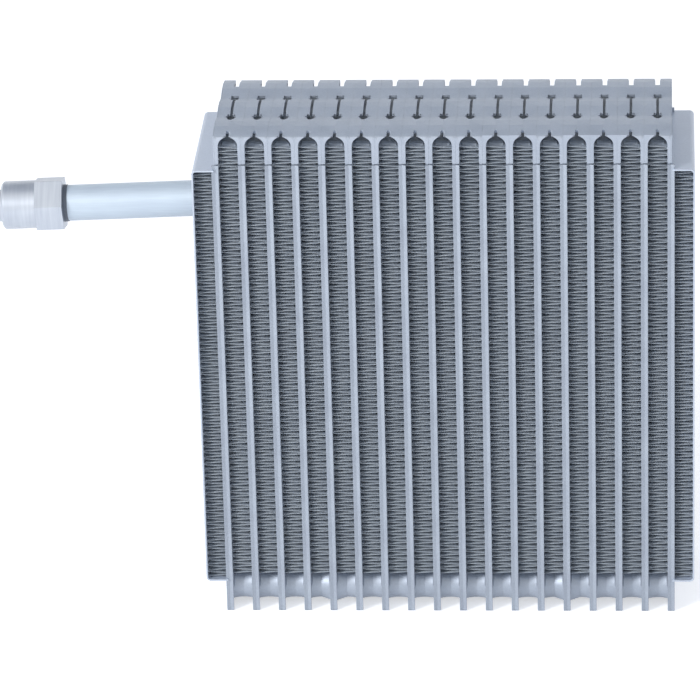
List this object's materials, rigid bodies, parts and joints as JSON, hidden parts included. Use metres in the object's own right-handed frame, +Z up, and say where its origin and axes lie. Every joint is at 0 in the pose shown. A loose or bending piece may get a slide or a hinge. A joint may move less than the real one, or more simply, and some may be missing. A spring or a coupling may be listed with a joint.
{
  "type": "evaporator core",
  "caption": "Laminated evaporator core: stacked stamped plates with corrugated air fins, side plates, and a suction pipe with a coupling.",
  "frame": {"origin": "on the surface that the plates' lower edges stand on, under the middle of the whole part, its pipes included", "axes": "+X across the stack of plates, away from the suction coupling; +Y from the front face to the rear, where the pipes rise; +Z up"},
  "size_m": [0.331, 0.1194, 0.2366],
  "materials": {
    "plates": "brazed, dull satin",
    "fins": "brazed, dull satin",
    "side_plates": "satin",
    "pipes": "bright satin"
  },
  "bodies": {
    "root": {"plate_01_left": "plates", "plate_01_right": "plates", "plate_02_left": "plates", "plate_02_right": "plates", "plate_03_left": "plates", "plate_03_right": "plates", "plate_04_left": "plates", "plate_04_right": "plates", "plate_05_left": "plates", "plate_05_right": "plates", "plate_06_left": "plates", "plate_06_right": "plates", "plate_07_left": "plates", "plate_07_right": "plates", "plate_08_left": "plates", "plate_08_right": "plates", "plate_09_left": "plates", "plate_09_right": "plates", "plate_10_left": "plates", "plate_10_right": "plates", "plate_11_left": "plates", "plate_11_right": "plates", "plate_12_left": "plates", "plate_12_right": "plates", "plate_13_left": "plates", "plate_13_right": "plates", "plate_14_left": "plates", "plate_14_right": "plates", "plate_15_left": "plates", "plate_15_right": "plates", "plate_16_left": "plates", "plate_16_right": "plates", "plate_17_left": "plates", "plate_17_right": "plates", "plate_18_left": "plates", "plate_18_right": "plates", "fin_01": "fins", "fin_02": "fins", "fin_03": "fins", "fin_04": "fins", "fin_05": "fins", "fin_06": "fins", "fin_07": "fins", "fin_08": "fins", "fin_09": "fins", "fin_10": "fins", "fin_11": "fins", "fin_12": "fins", "fin_13": "fins", "fin_14": "fins", "fin_15": "fins", "fin_16": "fins", "fin_17": "fins", "end_fin_left": "fins", "end_fin_right": "fins", "side_plate_left": "side_plates", "side_plate_right": "side_plates", "suction_pipe": "pipes", "suction_fitting": "pipes", "liquid_pipe": "pipes"}
  },
  "joints": []
}
